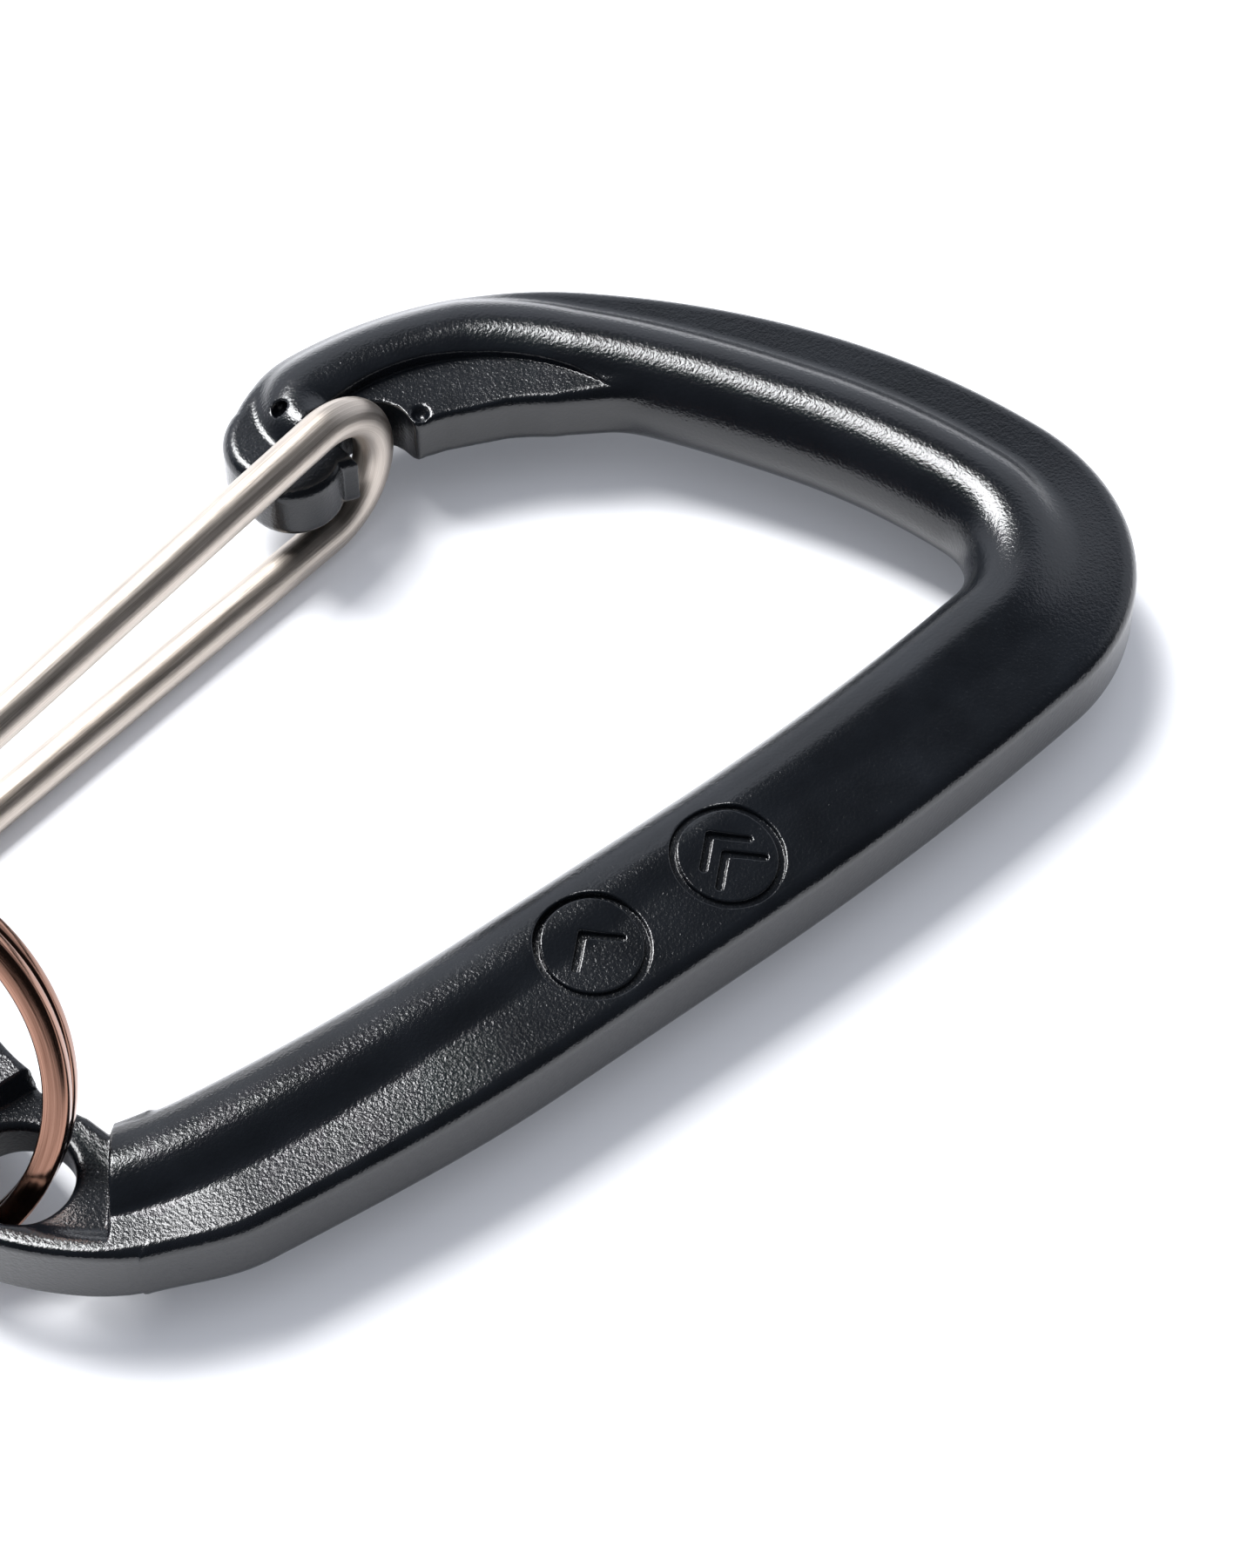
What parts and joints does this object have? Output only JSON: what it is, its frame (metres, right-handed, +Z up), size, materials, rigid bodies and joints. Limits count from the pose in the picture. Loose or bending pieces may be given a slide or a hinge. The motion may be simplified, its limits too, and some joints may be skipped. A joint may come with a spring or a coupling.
{
  "type": "wire-gate carabiner with split key ring",
  "caption": "Forged D-shaped wire-gate carabiner with a flanged spine, a hooked nose and a split key ring through its tab.",
  "frame": {"origin": "centre of the rope basket's inside radius, on the body's mid-plane", "axes": "+X along the spine towards the basket end, +Y from the spine to the gate, +Z up out of the flat of the body"},
  "size_m": [0.0938, 0.0522, 0.0233],
  "materials": {
    "anodised_body": "bead-blasted, black anodised, satin",
    "gate_wire": "drawn stainless wire, fine lengthwise grain",
    "ring_wire": "polished, warm tint"
  },
  "bodies": {
    "frame": {"carabiner_body": "anodised_body"},
    "gate": {"wire_gate": "gate_wire"},
    "key_ring": {"split_ring": "ring_wire"}
  },
  "joints": [
    {"name": "gate_hinge", "type": "hinge", "parent": "frame", "child": "gate", "pos_m": [-0.068, 0.018, 0], "axis": [0, 0, -1], "range_deg": [0, 33], "stiffness_Nm_per_rad": 0.02, "springref_deg": -5.73},
    {"name": "ring_swing", "type": "hinge", "parent": "frame", "child": "key_ring", "pos_m": [-0.0653, -0.0037, 0], "axis": [0.6547, -0.7559, 0], "range_deg": [-3, 44]}
  ]
}
